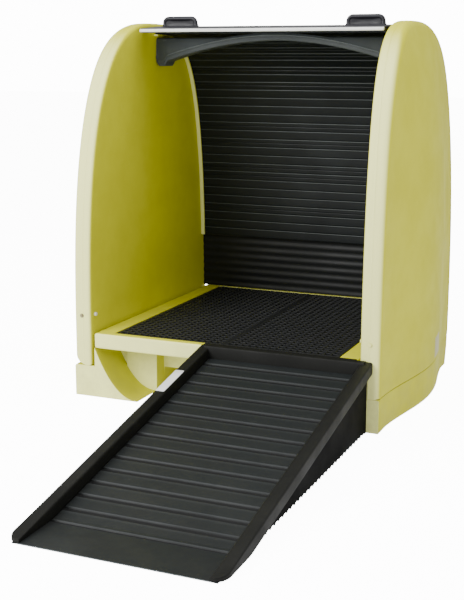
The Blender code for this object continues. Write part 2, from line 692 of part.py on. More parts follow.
steel = paint("zinc_steel", (0.55, 0.55, 0.53), 0.35, 1.0)
pale = paint("pale_lug", (0.70, 0.69, 0.60), 0.5)
face_front = Matrix.Rotation(math.pi / 2, 4, "X")
for side, word in ((-1, "left"), (1, "right")):
    rim_turn = math.asin(((BOLT_Z - SEAM_Z) / ARCH_RISE) ** (ARCH_POWER / 2))
    rim_y, rim_z = arch(rim_turn)
    rim_mid = side * (PANEL_IN_X + PANEL_OUT_X) / 2
    bolt_at = (rim_mid, rim_y - BOLT_TALL / 2 - BOLT_OFF, BOLT_Z)
    stud("rim_bolt_" + word, face_front, bolt_at, BOLT_R, BOLT_TALL, steel)
    stud("lock_lug_" + word, Matrix.Rotation(side * math.pi / 2, 4, "Y"),
         (side * (PANEL_IN_X - 0.006 - FIT), rim_y + 0.045, LUG_Z), 0.010, 0.012, pale, 12)

blank_label = paint("blank_label", (0.72, 0.72, 0.70), 0.45)
slope_turn = math.atan(slope)
label = block("ramp_label", (-RAMP_LABEL_WIDE / 2, -RAMP_LABEL_LONG / 2, -LABEL_THICK / 2),
              (RAMP_LABEL_WIDE / 2, RAMP_LABEL_LONG / 2, LABEL_THICK / 2), pallet, blank_label)
label_lift = LABEL_THICK / 2 + FIT / 2
label.location = (RAMP_MID_X - RAMP_WIDE / 2 + CURB_WIDE / 2,
                  ramp_y(RAMP_LABEL_RUN) - label_lift * math.sin(slope_turn),
                  ramp_z(RAMP_LABEL_RUN) + label_lift * math.cos(slope_turn))
label.rotation_euler.x = slope_turn

column = 2 * (A_HALF - RIM_ROUND_OUT) / PILLOW_COLUMNS
row_top = arch(math.pi / (2 * ARCH_STATIONS))[1]
half_edge = A_HALF - RIM_ROUND_OUT


def skin_point(y, z):
    """Point on the swollen outer face of the right panel."""
    return Vector((outer_x(z) + bulge(y, z, half_edge), y, z))


near_low, far_low = skin_point(column, SEAM_Z), skin_point(2 * column, SEAM_Z)
near_top, far_top = skin_point(column, row_top), skin_point(2 * column, row_top)
across = (far_low - near_low).normalized()
out = across.cross((near_top - near_low).normalized()).normalized()
upward = out.cross(across).normalized()
share_up = (PANEL_LABEL_Z - SEAM_Z) / (row_top - SEAM_Z)
seat = (near_low + far_low) / 2 * (1 - share_up) + (near_top + far_top) / 2 * share_up
panel_label = block("panel_label", (-PANEL_LABEL_WIDE / 2, -PANEL_LABEL_TALL / 2, -LABEL_THICK / 2),
                    (PANEL_LABEL_WIDE / 2, PANEL_LABEL_TALL / 2, LABEL_THICK / 2), pallet, blank_label)
turn = Matrix((across, upward, out)).transposed().to_4x4()
panel_label.matrix_world = Matrix.Translation(seat + out * (LABEL_THICK / 2 + FIT)) @ turn
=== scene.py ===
import math

import bpy
import numpy as np
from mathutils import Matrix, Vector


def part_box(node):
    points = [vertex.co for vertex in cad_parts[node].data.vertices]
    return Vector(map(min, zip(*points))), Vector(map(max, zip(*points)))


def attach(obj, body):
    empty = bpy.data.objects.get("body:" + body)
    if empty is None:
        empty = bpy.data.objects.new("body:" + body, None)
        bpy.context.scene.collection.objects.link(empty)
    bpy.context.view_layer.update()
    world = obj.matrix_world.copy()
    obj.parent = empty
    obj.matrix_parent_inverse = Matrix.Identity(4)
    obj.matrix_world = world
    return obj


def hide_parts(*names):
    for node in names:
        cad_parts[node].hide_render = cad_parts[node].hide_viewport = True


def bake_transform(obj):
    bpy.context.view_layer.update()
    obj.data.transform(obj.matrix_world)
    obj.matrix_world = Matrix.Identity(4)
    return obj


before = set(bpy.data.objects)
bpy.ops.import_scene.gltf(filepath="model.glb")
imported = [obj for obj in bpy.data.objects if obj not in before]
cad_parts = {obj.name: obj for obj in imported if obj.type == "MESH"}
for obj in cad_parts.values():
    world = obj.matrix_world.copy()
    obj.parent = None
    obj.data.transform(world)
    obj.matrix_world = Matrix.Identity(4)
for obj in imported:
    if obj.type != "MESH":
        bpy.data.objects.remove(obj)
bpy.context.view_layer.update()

# ------------------------------------------------------------------ sizes, in metres
HALF_DEPTH = 0.71          # side outline, front rim to middle
SEAM = 0.165               # joint between a side panel and the base
RISE = 1.735               # seam to crown
POWER = 2.9                # fullness of the side outline
CROWN = 1.90               # floor to crown
LIP = 0.338                # floor to the top of the tray's lip
SLAT_PITCH = 0.050
SLAT_INSET = 0.052         # side outline to the middle of the slats
SLATS = 31                 # stowed slats
PIVOT = np.array((0.0, 0.7771, 0.7268))        # axis the door swings about
RAIL_MID = np.array((0.0, -0.1251, 1.8660))    # middle of the open rail
RAIL_TURN = math.radians(4.0)
RAMP_MID = 0.345
RAMP_BACK = -0.7115
RAMP_SLOPE = 0.19235       # fall of the curbs for each metre of run
INNER_HALF = 0.4135        # ramp deck, middle to side wall
PAD_PITCH = 0.09933
PADS = 15
PAD_WIDE = 0.081
GRATE_IN, GRATE_OUT = 0.0005, 0.600            # inner and outer edge of a grate
GRATE_BORDER = 0.020                           # solid edge along each side
GRATE_BAR = 0.010                              # bar between two holes
CURTAIN_BACK, CURTAIN_FRONT = -0.030, -0.125   # rear and front end of the folded curtain
CURTAIN_SLATS = 30
FLOOR_GLOW, WORLD_GLOW = (0.3, 12.0), (0.8, 14.0)   # strength for other rays, then for the camera's own


# ------------------------------------------------------------------ working with grids
def smooth_step(low, high, value):
    """0 below low, 1 above high and an S curve (3t^2 - 2t^3) between them."""
    t = np.clip((value - low) / (high - low), 0.0, 1.0)
    return t * t * (3.0 - 2.0 * t)


def grid_quads(rows, cols, wrap_rows=False, wrap_cols=False):
    """Quads of a grid numbered row by row: each joins point (r, c) to its next row and column."""
    r = np.arange(rows if wrap_rows else rows - 1)
    c = np.arange(cols if wrap_cols else cols - 1)
    r, c = np.meshgrid(r, c, indexing="ij")
    r_next, c_next = (r + 1) % rows, (c + 1) % cols
    quads = (r * cols + c, r * cols + c_next, r_next * cols + c_next, r_next * cols + c)
    return np.stack(quads, axis=-1).reshape(-1, 4)


def tube(rings, ends="face", loop=False):
    """Closed surface through rings of equal point count (rows, columns, 3); ends are one face, a fan, or
    none where the last ring meets the first again."""
    rows, cols = rings.shape[:2]
    points = rings.reshape(-1, 3)
    faces = grid_quads(rows, cols, wrap_rows=loop, wrap_cols=True).tolist()
    last = (rows - 1) * cols
    if not loop and ends == "face":
        faces += [list(range(cols - 1, -1, -1)), list(range(last, last + cols))]
    if not loop and ends == "fan":
        middle = np.stack([rings[0].mean(axis=0), rings[-1].mean(axis=0)])
        points = np.vstack([points, middle])
        here = np.arange(cols)
        after = (here + 1) % cols
        count = rows * cols
        faces += np.stack([after, here, np.full(cols, count)], axis=1).tolist()
        faces += np.stack([last + here, last + after, np.full(cols, count + 1)], axis=1).tolist()
    return points, faces


def slab(x, y, top, bottom):
    """Closed body between two height fields over the lines x and y."""
    grid_x, grid_y = np.meshgrid(x, y, indexing="ij")
    rows, cols = grid_x.shape
    upper = np.stack([grid_x, grid_y, top], axis=-1).reshape(-1, 3)
    lower = np.stack([grid_x, grid_y, bottom], axis=-1).reshape(-1, 3)
    quads = grid_quads(rows, cols)
    count = rows * cols
    index = np.arange(count).reshape(rows, cols)
    rim = np.concatenate([index[:-1, 0], index[-1, :-1], index[:0:-1, -1], index[0, :0:-1]])
    rim_next = np.roll(rim, -1)
    walls = np.stack([rim, rim_next, rim_next + count, rim + count], axis=1)
    faces = np.vstack([quads, quads[:, ::-1] + count, walls[:, ::-1]])
    return np.vstack([upper, lower]), faces.tolist()


def signed_volume(points, faces):
    """Sum over fans of each face of the box product of its corners, over six."""
    total = 0.0
    for size in {len(face) for face in faces}:
        same = np.array([face for face in faces if len(face) == size])
        for k in range(1, size - 1):
            a, b, c = points[same[:, 0]], points[same[:, k]], points[same[:, k + 1]]
            total += float(np.einsum("ij,ij->", a, np.cross(b, c)))
    return total / 6.0


def piece(name, parts, body, finish, replaces=(), bevel=0.0, segments=2, sharp=35.0, values=None):
    """One visible piece from closed parts, turned so that every face looks outward."""
    points, faces, count = [], [], 0
    for part_points, part_faces in parts:
        if signed_volume(part_points, part_faces) < 0:
            part_faces = [face[::-1] for face in part_faces]
        points.append(part_points)
        faces += [[index + count for index in face] for face in part_faces]
        count += len(part_points)
    mesh = bpy.data.meshes.new(name)
    mesh.from_pydata(np.vstack(points).tolist(), [], faces)
    mesh.materials.append(finish)
    mesh.polygons.foreach_set("use_smooth", np.ones(len(mesh.polygons), dtype=bool))
    mesh.set_sharp_from_angle(angle=math.radians(sharp))
    for label, amount in (values or {}).items():
        mesh.attributes.new(label, "FLOAT", "POINT").data.foreach_set("value", amount.astype(np.float32))
    obj = bpy.data.objects.new(name, mesh)
    bpy.context.scene.collection.objects.link(obj)
    if bevel:
        step = obj.modifiers.new("edges", "BEVEL")
        step.width = bevel
        step.segments = segments
        step.limit_method = "ANGLE"
        step.angle_limit = math.radians(sharp)
        step.harden_normals = True
    if body:
        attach(obj, body)
    if replaces:
        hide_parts(*replaces)
    return obj


def lines(stops, step):
    """Sample lines through every stop with no gap wider than step."""
    stops = np.asarray(sorted(set(stops)))
    pieces = [np.linspace(a, b, max(2, int(math.ceil((b - a) / step)) + 1))[:-1]
              for a, b in zip(stops[:-1], stops[1:])]
    return np.concatenate(pieces + [stops[-1:]])


def mirrored(stops):
    """The stops on both sides of zero."""
    stops = np.asarray(stops)
    return np.concatenate([-stops, stops])


def around(*middles, width=0.004):
    """Stops close together across each rounded step."""
    offsets = np.linspace(-width, width, 6)
    return np.concatenate([middle + offsets for middle in middles])


def extrude(section, axis, low, high, count=2):
    """Closed bar: a flat section (n, 2) carried from low to high along an axis, in count stations."""
    ends = np.linspace(low, high, count)
    rings = np.zeros((count, len(section), 3))
    first, second = [k for k in range(3) if k != axis]
    rings[:, :, first] = section[None, :, 0]
    rings[:, :, second] = section[None, :, 1]
    rings[:, :, axis] = ends[:, None]
    return tube(rings)


def rounded_section(half_u, half_v, radius, steps=5):
    """Rounded rectangle: quarter circles at the four corners."""
    angle = np.linspace(0, math.pi / 2, steps)
    quarters = []
    for k, (u, v) in enumerate(((1, 1), (-1, 1), (-1, -1), (1, -1))):
        turn = angle + k * math.pi / 2
        quarters.append(np.stack([u * (half_u - radius) + radius * np.cos(turn),
                                  v * (half_v - radius) + radius * np.sin(turn)], axis=1))
    return np.vstack(quarters)


def lathe(profile, steps=28, sides=0):
    """Solid turned about Z from (radius, height) pairs; sides flattens the wall into a polygon."""
    turn = np.linspace(0, 2 * math.pi, steps, endpoint=False)
    radius = np.ones(steps)
    if sides:
        part = math.pi / sides
        radius = math.cos(part) / np.cos((turn % (2 * part)) - part)
    r, z = np.asarray(profile, float).T
    rings = np.stack([r[:, None] * radius * np.cos(turn), r[:, None] * radius * np.sin(turn),
                      np.repeat(z[:, None], steps, axis=1)], axis=-1)
    return tube(rings, ends="fan")


def moved(part, turn=None, shift=(0, 0, 0)):
    """The part turned by a 3 x 3 matrix, then shifted."""
    points, faces = part
    if turn is not None:
        points = points @ np.asarray(turn).T
    return points + np.asarray(shift), faces


def turn_x(angle):
    c, s = math.cos(angle), math.sin(angle)
    return np.array(((1, 0, 0), (0, c, -s), (0, s, c)))


def turn_y(angle):
    c, s = math.cos(angle), math.sin(angle)
    return np.array(((c, 0, s), (0, 1, 0), (-s, 0, c)))


# ------------------------------------------------------------------ shape of the shelter
def lean(z):
    return np.clip(z / CROWN, 0.0, None) ** 4.0


def inner_x(z):
    """Inner face of a side panel: 0.718 less 0.039 times the lean."""
    return 0.718 - 0.039 * lean(z)


def outer_x(z):
    return 0.817 - 0.050 * lean(z)


def swell(y, z):
    """Outer face past its corner line: a squared cosine across the depth that fades to the crown."""
    share = np.clip(np.abs(y) / 0.682, 0.0, 1.0)
    return 0.072 * (1.0 - lean(z) ** 2) * np.cos(share * math.pi / 2) ** 2


def corner_cut(side, y, z):
    """Rounded outer corner at the lower end of the left front rim: a quarter ellipse 56 by 48 mm."""
    low = np.clip((0.213 - z) / 0.049, 0.0, 0.999)
    near = 1.0 - smooth_step(0.0, 0.10, y + HALF_DEPTH)
    return 0.056 * (1.0 - np.sqrt(1.0 - low ** 2)) * near * (side < 0)


def tuck(y, z):
    """The lower rear corner is drawn in by a quarter ellipse, 52 by 330 mm."""
    low = np.clip((0.330 - z) / 0.335, 0.0, 0.999)
    return y - 0.052 * (1.0 - np.sqrt(1.0 - low ** 2)) * smooth_step(0.0, 0.71, y)


def outline(inset, count, start=0.0, end=math.pi):
    """Side outline, a superellipse of power 2.9 shrunk by inset, in count evenly spaced points (y, z)."""
    turn = np.linspace(start, end, 6001)
    c, s = np.cos(turn), np.clip(np.sin(turn), 0.0, None)
    y = -(HALF_DEPTH - inset) * np.sign(c) * np.abs(c) ** (2 / POWER)
    z = SEAM + (RISE - inset) * s ** (2 / POWER)
    gone = np.concatenate([[0.0], np.cumsum(np.hypot(np.diff(y), np.diff(z)))])
    even = np.linspace(0.0, gone[-1], count)
    return np.stack([np.interp(even, gone, y), np.interp(even, gone, z)], axis=1)


def line_along(inset, start_y, length, count):
    """Points (y, z) and unit normals that point outward, from start_y near the crown towards the rear."""
    fine = outline(inset, 9001)
    fine = fine[fine[:, 0] >= start_y]
    gone = np.concatenate([[0.0], np.cumsum(np.hypot(*np.diff(fine, axis=0).T))])
    even = np.linspace(0.0, min(length, gone[-1]), count)
    points = np.stack([np.interp(even, gone, fine[:, 0]), np.interp(even, gone, fine[:, 1])], axis=1)
    slope = np.gradient(points, axis=0)
    slope /= np.linalg.norm(slope, axis=1, keepdims=True)
    return points, np.stack([-slope[:, 1], slope[:, 0]], axis=1), even


# ------------------------------------------------------------------ finishes
def node(tree, kind, **values):
    made = tree.nodes.new(kind)
    for key, value in values.items():
        if key in made.inputs:
            made.inputs[key].default_value = value
        else:
            setattr(made, key, value)
    return made


def ramp_between(tree, source, low, high):
    """Value that runs 0 to 1 while the source runs low to high."""
    made = node(tree, "ShaderNodeMapRange", interpolation_type="SMOOTHSTEP")
    made.inputs["From Min"].default_value = low
    made.inputs["From Max"].default_value = high
    tree.links.new(source, made.inputs["Value"])
    return made.outputs["Result"]


def math_node(tree, kind, a, b):
    made = node(tree, "ShaderNodeMath", operation=kind)
    for socket, value in zip(made.inputs, (a, b)):
        if isinstance(value, (int, float)):
            socket.default_value = value
        else:
            tree.links.new(value, socket)
    return made.outputs[0]


def noise(tree, where, scale, detail=4.0, rough=0.55, stretch=None):
    if stretch is not None:
        mapping = node(tree, "ShaderNodeMapping")
        mapping.inputs["Scale"].default_value = stretch
        tree.links.new(where, mapping.inputs["Vector"])
        where = mapping.outputs["Vector"]
    made = node(tree, "ShaderNodeTexNoise", Scale=scale, Detail=detail, Roughness=rough)
    tree.links.new(where, made.inputs["Vector"])
    return made.outputs["Fac"]


def surface_group():
    """Shared masks of a moulded surface: mottle, long scuffs, specks, dust in the low parts and a grain
    normal."""
    group = bpy.data.node_groups.new("moulded_surface", "ShaderNodeTree")
    face = group.interface
    face.new_socket("Position", in_out="INPUT", socket_type="NodeSocketVector")
    for label, value in (("Grain", 1.0), ("Wear", 0.5)):
        socket = face.new_socket(label, in_out="INPUT", socket_type="NodeSocketFloat")
        socket.default_value = value
    for label in ("Mottle", "Scuff", "Speck", "Dust"):
        face.new_socket(label, in_out="OUTPUT", socket_type="NodeSocketFloat")
    face.new_socket("Normal", in_out="OUTPUT", socket_type="NodeSocketVector")
    start = group.nodes.new("NodeGroupInput")
    end = group.nodes.new("NodeGroupOutput")
    where = start.outputs["Position"]
    mottle = ramp_between(group, noise(group, where, 5.0, 6.0, 0.6), 0.3, 0.7)
    long_marks = noise(group, where, 9.0, 8.0, 0.72, (1.0, 1.0, 5.0))
    cross_marks = noise(group, where, 14.0, 8.0, 0.75, (6.0, 1.5, 1.0))
    patches = ramp_between(group, noise(group, where, 2.2, 3.0, 0.5), 0.45, 0.75)
    marks = math_node(group, "MAXIMUM", ramp_between(group, long_marks, 0.62, 0.72),
                      ramp_between(group, cross_marks, 0.63, 0.74))
    scuff = math_node(group, "MULTIPLY", math_node(group, "MULTIPLY", marks, patches), start.outputs["Wear"])
    speck = ramp_between(group, noise(group, where, 160.0, 2.0, 0.5), 0.70, 0.80)
    split = node(group, "ShaderNodeSeparateXYZ")
    group.links.new(where, split.inputs[0])
    low = math_node(group, "SUBTRACT", 1.0, ramp_between(group, split.outputs["Z"], 0.02, 0.45))
    settled = ramp_between(group, noise(group, where, 7.0, 6.0, 0.65), 0.35, 0.75)
    dust = math_node(group, "MULTIPLY", low, settled)
    fine = noise(group, where, 420.0, 3.0, 0.5)
    broad = noise(group, where, 16.0, 3.0, 0.5)
    height = math_node(group, "ADD", math_node(group, "MULTIPLY", fine, 0.35), broad)
    bump = node(group, "ShaderNodeBump", Distance=0.0008)
    group.links.new(height, bump.inputs["Height"])
    group.links.new(start.outputs["Grain"], bump.inputs["Strength"])
    for label, value in (("Mottle", mottle), ("Scuff", scuff), ("Speck", speck), ("Dust", dust),
                         ("Normal", bump.outputs["Normal"])):
        group.links.new(value, end.inputs[label])
    return group


MOULDED = surface_group()


def mix_colour(tree, factor, first, second):
    made = node(tree, "ShaderNodeMix", data_type="RGBA")
    colours = [socket for socket in made.inputs if socket.type == "RGBA"]
    if isinstance(factor, float):
        made.inputs["Factor"].default_value = factor
    else:
        tree.links.new(factor, made.inputs["Factor"])
    for socket, value in zip(colours, (first, second)):
        if isinstance(value, tuple):
            socket.default_value = (*value, 1.0)
        else:
            tree.links.new(value, socket)
    return [socket for socket in made.outputs if socket.type == "RGBA"][0]


def moulded(name, colour, deep, scuff_and_highlight, dusty, rough, grain=0.3, wear=0.5, painted_front_highlight=None, metal=0.0,
            gloss=0.5, painted_bead_highlight_pitch=None, painted_groove_shade=False):
    """Moulded or rolled finish: the colour drifts to deep in patches, scuffs to the scuff colour and takes
    dust low down; the front highlight colour whitens what faces the front, a painted highlight; the bead
    highlight pitch paints a highlight line at that pitch of the attribute along; the groove shade paints
    shade where the attribute raised leaves low, and paints a highlight on the edge beside it."""
    mat = bpy.data.materials.new(name)
    mat.use_nodes = True
    tree = mat.node_tree
    shader = tree.nodes["Principled BSDF"]
    where = node(tree, "ShaderNodeTexCoord").outputs["Object"]
    marks = node(tree, "ShaderNodeGroup", node_tree=MOULDED)
    tree.links.new(where, marks.inputs["Position"])
    marks.inputs["Grain"].default_value = grain
    marks.inputs["Wear"].default_value = wear
    shade = mix_colour(tree, math_node(tree, "MULTIPLY", marks.outputs["Mottle"], 0.6), colour, deep)
    if painted_front_highlight is not None:
        # Painted highlight: faces turned towards the front (-Y) are whitened towards the highlight colour, as
        # the front light would do.
        facing = node(tree, "ShaderNodeSeparateXYZ")
        tree.links.new(node(tree, "ShaderNodeNewGeometry").outputs["Normal"], facing.inputs[0])
        front = ramp_between(tree, math_node(tree, "MULTIPLY", facing.outputs["Y"], -1.0), 0.34, 0.92)
        shade = mix_colour(tree, math_node(tree, "MULTIPLY", front, 0.80), shade, painted_front_highlight)
    shade = mix_colour(tree, marks.outputs["Scuff"], shade, scuff_and_highlight)
    shade = mix_colour(tree, math_node(tree, "MULTIPLY", marks.outputs["Dust"], 0.30), shade, dusty)
    if painted_bead_highlight_pitch is not None:
        # Painted highlight: a thin light line in the scuff colour on each slat's bead, once per pitch of
        # along.
        along = node(tree, "ShaderNodeAttribute", attribute_name="along").outputs["Fac"]
        part = math_node(tree, "FRACT", math_node(tree, "DIVIDE", along, painted_bead_highlight_pitch), 0.0)
        apart = math_node(tree, "ABSOLUTE", math_node(tree, "SUBTRACT", part, 0.07), 0.0)
        line = math_node(tree, "LESS_THAN", apart, 0.028)
        shade = mix_colour(tree, math_node(tree, "MULTIPLY", line, 0.75), shade, scuff_and_highlight)
    if painted_groove_shade:
        # Painted shade: the grooves between the raised treads go nearly black; painted highlight: the edge of
        # each tread is lightened in the scuff colour.
        raised = node(tree, "ShaderNodeAttribute", attribute_name="raised").outputs["Fac"]
        low = math_node(tree, "SUBTRACT", 1.0, ramp_between(tree, raised, 0.05, 0.55))
        edge = math_node(tree, "MULTIPLY", ramp_between(tree, raised, 0.55, 0.90),
                         math_node(tree, "SUBTRACT", 1.0, ramp_between(tree, raised, 0.93, 1.0)))
        shade = mix_colour(tree, math_node(tree, "MULTIPLY", low, 0.85), shade, (0.004, 0.004, 0.004))
        shade = mix_colour(tree, math_node(tree, "MULTIPLY", edge, 0.32), shade, scuff_and_highlight)
    tree.links.new(shade, shader.inputs["Base Color"])
    roughness = math_node(tree, "ADD", math_node(tree, "MULTIPLY", marks.outputs["Mottle"], 0.12), rough)
    roughness = math_node(tree, "ADD", math_node(tree, "MULTIPLY", marks.outputs["Speck"], 0.1), roughness)
    tree.links.new(roughness, shader.inputs["Roughness"])
    tree.links.new(marks.outputs["Normal"], shader.inputs["Normal"])
    shader.inputs["Metallic"].default_value = metal
    shader.inputs["Specular IOR Level"].default_value = gloss
    return mat


# The last colour is a painted highlight on the faces that look to the front.
yellow = moulded("yellow_polyethylene", (0.60, 0.585, 0.024), (0.53, 0.51, 0.018), (0.70, 0.70, 0.25),
                 (0.36, 0.34, 0.12), 0.46, 0.22, 0.30, painted_front_highlight=(0.95, 0.97, 0.42), gloss=0.12)
# The slat pitch here sets a painted highlight line on each slat's bead.
slat_black = moulded("black_slat", (0.0065, 0.0090, 0.0100), (0.004, 0.005, 0.006), (0.10, 0.115, 0.12),
                     (0.03, 0.03, 0.028), 0.34, 0.10, 0.12, gloss=0.22, painted_bead_highlight_pitch=SLAT_PITCH)
wall_black = moulded("black_rear_wall", (0.008, 0.009, 0.010), (0.005, 0.006, 0.006), (0.05, 0.055, 0.055),
                     (0.03, 0.03, 0.028), 0.42, 0.20, 0.3, gloss=0.25)
grate_black = moulded("black_grate", (0.010, 0.011, 0.012), (0.006, 0.006, 0.007), (0.07, 0.07, 0.065),
                      (0.05, 0.048, 0.04), 0.40, 0.4, 0.6, gloss=0.35)
rail_black = moulded("black_rail", (0.011, 0.011, 0.015), (0.007, 0.007, 0.010), (0.07, 0.07, 0.085),
                     (0.04, 0.04, 0.04), 0.36, 0.3, 0.3, gloss=0.35)
header_black = moulded("black_header", (0.058, 0.068, 0.072), (0.040, 0.046, 0.050), (0.26, 0.27, 0.28),
                       (0.10, 0.10, 0.10), 0.40, 0.3, 1.0, gloss=0.3)
edge_grey = moulded("header_edge", (0.10, 0.12, 0.125), (0.065, 0.078, 0.084), (0.22, 0.24, 0.25),
                    (0.12, 0.12, 0.12), 0.30, 0.2, 0.8, gloss=0.4)
# Its treads carry painted shade in the grooves and a painted highlight on each tread's edge.
ramp_black = moulded("black_ramp", (0.0115, 0.0140, 0.0142), (0.0065, 0.0080, 0.0080), (0.060, 0.066, 0.066),
                     (0.020, 0.020, 0.017), 0.46, 0.6, 0.6, gloss=0.18, painted_groove_shade=True)
curb_black = moulded("black_ramp_curb", (0.0070, 0.0072, 0.0060), (0.0045, 0.0048, 0.0040),
                     (0.050, 0.050, 0.044), (0.015, 0.015, 0.012), 0.50, 0.6, 0.6, gloss=0.14)
# A darker copy of the ramp black for the side walls and the rear web: painted shade of faces that turn away
# from the light.
shaded_ramp_black = moulded("black_ramp_side_shaded", (0.0030, 0.0031, 0.0028), (0.002, 0.002, 0.002),
                     (0.015, 0.015, 0.014), (0.008, 0.008, 0.007), 0.65, 0.5, 0.3, gloss=0.05)
seal_white = moulded("white_edge_seal", (0.82, 0.83, 0.80), (0.72, 0.73, 0.70), (0.55, 0.55, 0.52),
                     (0.6, 0.6, 0.55), 0.45, 0.1, 0.3)
zinc = moulded("zinc_steel", (0.30, 0.27, 0.16), (0.22, 0.20, 0.12), (0.55, 0.52, 0.42),
               (0.45, 0.43, 0.38), 0.28, 0.2, 0.5, metal=1.0)
lug_pale = moulded("pale_lug", (0.74, 0.73, 0.62), (0.60, 0.59, 0.48), (0.85, 0.85, 0.8),
                   (0.5, 0.48, 0.4), 0.4, 0.1, 0.4)
label_pale = moulded("blank_label", (0.74, 0.75, 0.74), (0.60, 0.62, 0.61), (0.42, 0.43, 0.44),
                     (0.5, 0.5, 0.46), 0.35, 0.1, 0.8)
label_tan = moulded("blank_panel_label", (0.50, 0.46, 0.22), (0.40, 0.37, 0.18), (0.42, 0.40, 0.30),
                    (0.4, 0.4, 0.34), 0.40, 0.1, 0.8)


# ------------------------------------------------------------------ side panels
def side_panel(side):
    """Rings that grow from the middle of the inner face, turn over the rim and shrink again on the swollen
    outer face; along each ring runs the side outline and then the seam."""
    arch_points, seam_points = 260, 70
    rings = []

    def ring(inset, face_x, shrink=1.0):
        arc = outline(inset, arch_points)
        floor_z = SEAM + min(max(inset, 0.0), 0.004)
        arc[:, 1] = np.maximum(arc[:, 1], floor_z)
        back = np.linspace(arc[-1, 0], arc[0, 0], seam_points + 2)[1:-1]
        loop = np.vstack([arc, np.stack([back, np.full(seam_points, floor_z)], axis=1)])
        middle = np.array((0.0, 0.95))
        loop = middle + (loop - middle) * shrink
        y, z = loop.T
        y = tuck(y, z)
        rings.append(np.stack([side * face_x(y, z), y, z], axis=1))

    def round_in(amount):
        return lambda y, z: inner_x(z) + amount

    def round_out(amount):
        return lambda y, z: outer_x(z) + swell(y, z) - amount - corner_cut(side, y, z)

    for shrink in np.linspace(0.03, 0.985, 30):
        ring(0.018, round_in(0.0), shrink)
    for angle in np.linspace(0, math.pi / 2, 7):
        ring(0.018 * (1 - math.sin(angle)), round_in(0.018 * (1 - math.cos(angle))))
    for share, rise in ((0.30, 0.0), (0.46, 0.0), (0.48, -0.0006), (0.52, -0.0006), (0.54, 0.0), (0.70, 0.0)):
        ring(rise, lambda y, z, share=share: (inner_x(z) + 0.018) * (1 - share)
             + (outer_x(z) - 0.028 - corner_cut(side, y, z)) * share)
    for angle in np.linspace(math.pi / 2, 0, 9):
        ring(0.028 * (1 - math.sin(angle)), round_out(0.028 * (1 - math.cos(angle))))
    for shrink in np.linspace(0.985, 0.03, 44):
        ring(0.028, round_out(0.0), shrink)
    return tube(np.array(rings), ends="fan")


for side, word in ((-1, "left"), (1, "right")):
    piece("panel_" + word, [side_panel(side)], "pallet", yellow,
          replaces=("side_panel_" + word,), sharp=50.0)


# ------------------------------------------------------------------ base
def base_tray():
    """Tray, ledge, shelf and sump as one slab between two height fields: each wall is an S curve a few
    millimetres wide between two levels."""
    x = lines(mirrored(np.concatenate([[0.0], around(0.012, 0.187, 0.201, 0.449, 0.463, 0.577, 0.602, 0.628),
                                       np.linspace(0.690, 0.700, 6)])), 0.03)
    y = lines(mirrored(np.concatenate([[0.0], around(0.402, 0.416, 0.478, 0.497, 0.632, 0.657),
                                       np.linspace(0.690, 0.700, 6)])), 0.03)
    grid_x, grid_y = np.meshgrid(np.abs(x), np.abs(y), indexing="ij")

    def inside(half_x, half_y, width=0.004):
        return ((1 - smooth_step(half_x - width, half_x + width, grid_x))
                * (1 - smooth_step(half_y - width, half_y + width, grid_y)))

    def band(low, high, width=0.004):
        return (smooth_step(low - width, low + width, grid_x)
                * (1 - smooth_step(high - width, high + width, grid_x)))

    seat, shelf = LIP - 0.0384, 0.268
    floor = 0.012 + 0.113 * band(0.187, 0.463) + (1 - smooth_step(0.008, 0.016, grid_x)) * 0.2876
    top = LIP + (seat - LIP) * inside(0.602, 0.657)
    top = top + (np.maximum(shelf, np.where(grid_x < 0.016, floor, 0.0)) - top) * inside(0.577, 0.632)
    mouth = band(0.201, 0.449)
    top = top + (floor - top) * inside(0.577, 0.478) * (1 - band(0.187, 0.463) * (1 - inside(0.9, 0.402)))
    sump = inside(0.628, 0.497) * (1 - mouth * (1 - inside(0.9, 0.416)))
    under = 0.258 * (1 - sump) + 0.115 * mouth * sump
    edge = 0.0
    for grid in (grid_x, grid_y):
        past = np.clip((grid - 0.691) / 0.009, 0.0, 0.9999)
        edge = np.maximum(edge, 0.009 * (1 - np.sqrt(1 - past ** 2)))
    return slab(x, y, top - edge, under + edge)


def skirt(side):
    """Skirt under a side panel: its plan follows the swell, and its top edge is drawn in by a small radius
    at the seam."""
    y = np.linspace(-0.704, 0.704, 90)
    corner = 0.006 * (np.clip((np.abs(y) - 0.690) / 0.014, 0, 1) ** 3)
    outer = 0.817 + swell(y, np.zeros_like(y)) - 0.001 - corner
    rings = []
    for z, inset in ((0.0, 0.006), (0.002, 0.002), (0.006, 0.0), (0.10, 0.0), (0.156, 0.0), (0.1615, 0.0004),
                     (0.1638, 0.0014), (0.1646, 0.0030)):
        x = np.concatenate([outer - inset, np.full(len(y), 0.702)])
        loop_y = tuck(np.concatenate([y, y[::-1]]) * (1 - inset / HALF_DEPTH), z)
        rings.append(np.stack([side * x, loop_y, np.full(len(x), z)], axis=1))
    return tube(np.array(rings))


def corner_foot(side, end):
    """Foot that sweeps up in a 2.2 power curve from the floor, and runs on under the side panel."""
    share = np.linspace(0, 1, 30)
    curve = np.stack([0.456 + 0.241 * share, 0.003 + 0.255 * share ** 2.2], axis=1)
    section = np.vstack([curve, [[0.697, 0.262], [0.700, 0.262], [0.700, 0.1644], [0.810, 0.1644],
                                 [0.8165, 0.158], [0.8165, 0.0], [0.456, 0.0]]])
    section[:, 0] *= side
    near, far = end * 0.487, (-0.7095 if end < 0 else 0.650)
    return extrude(section, 1, min(near, far), max(near, far), 8)


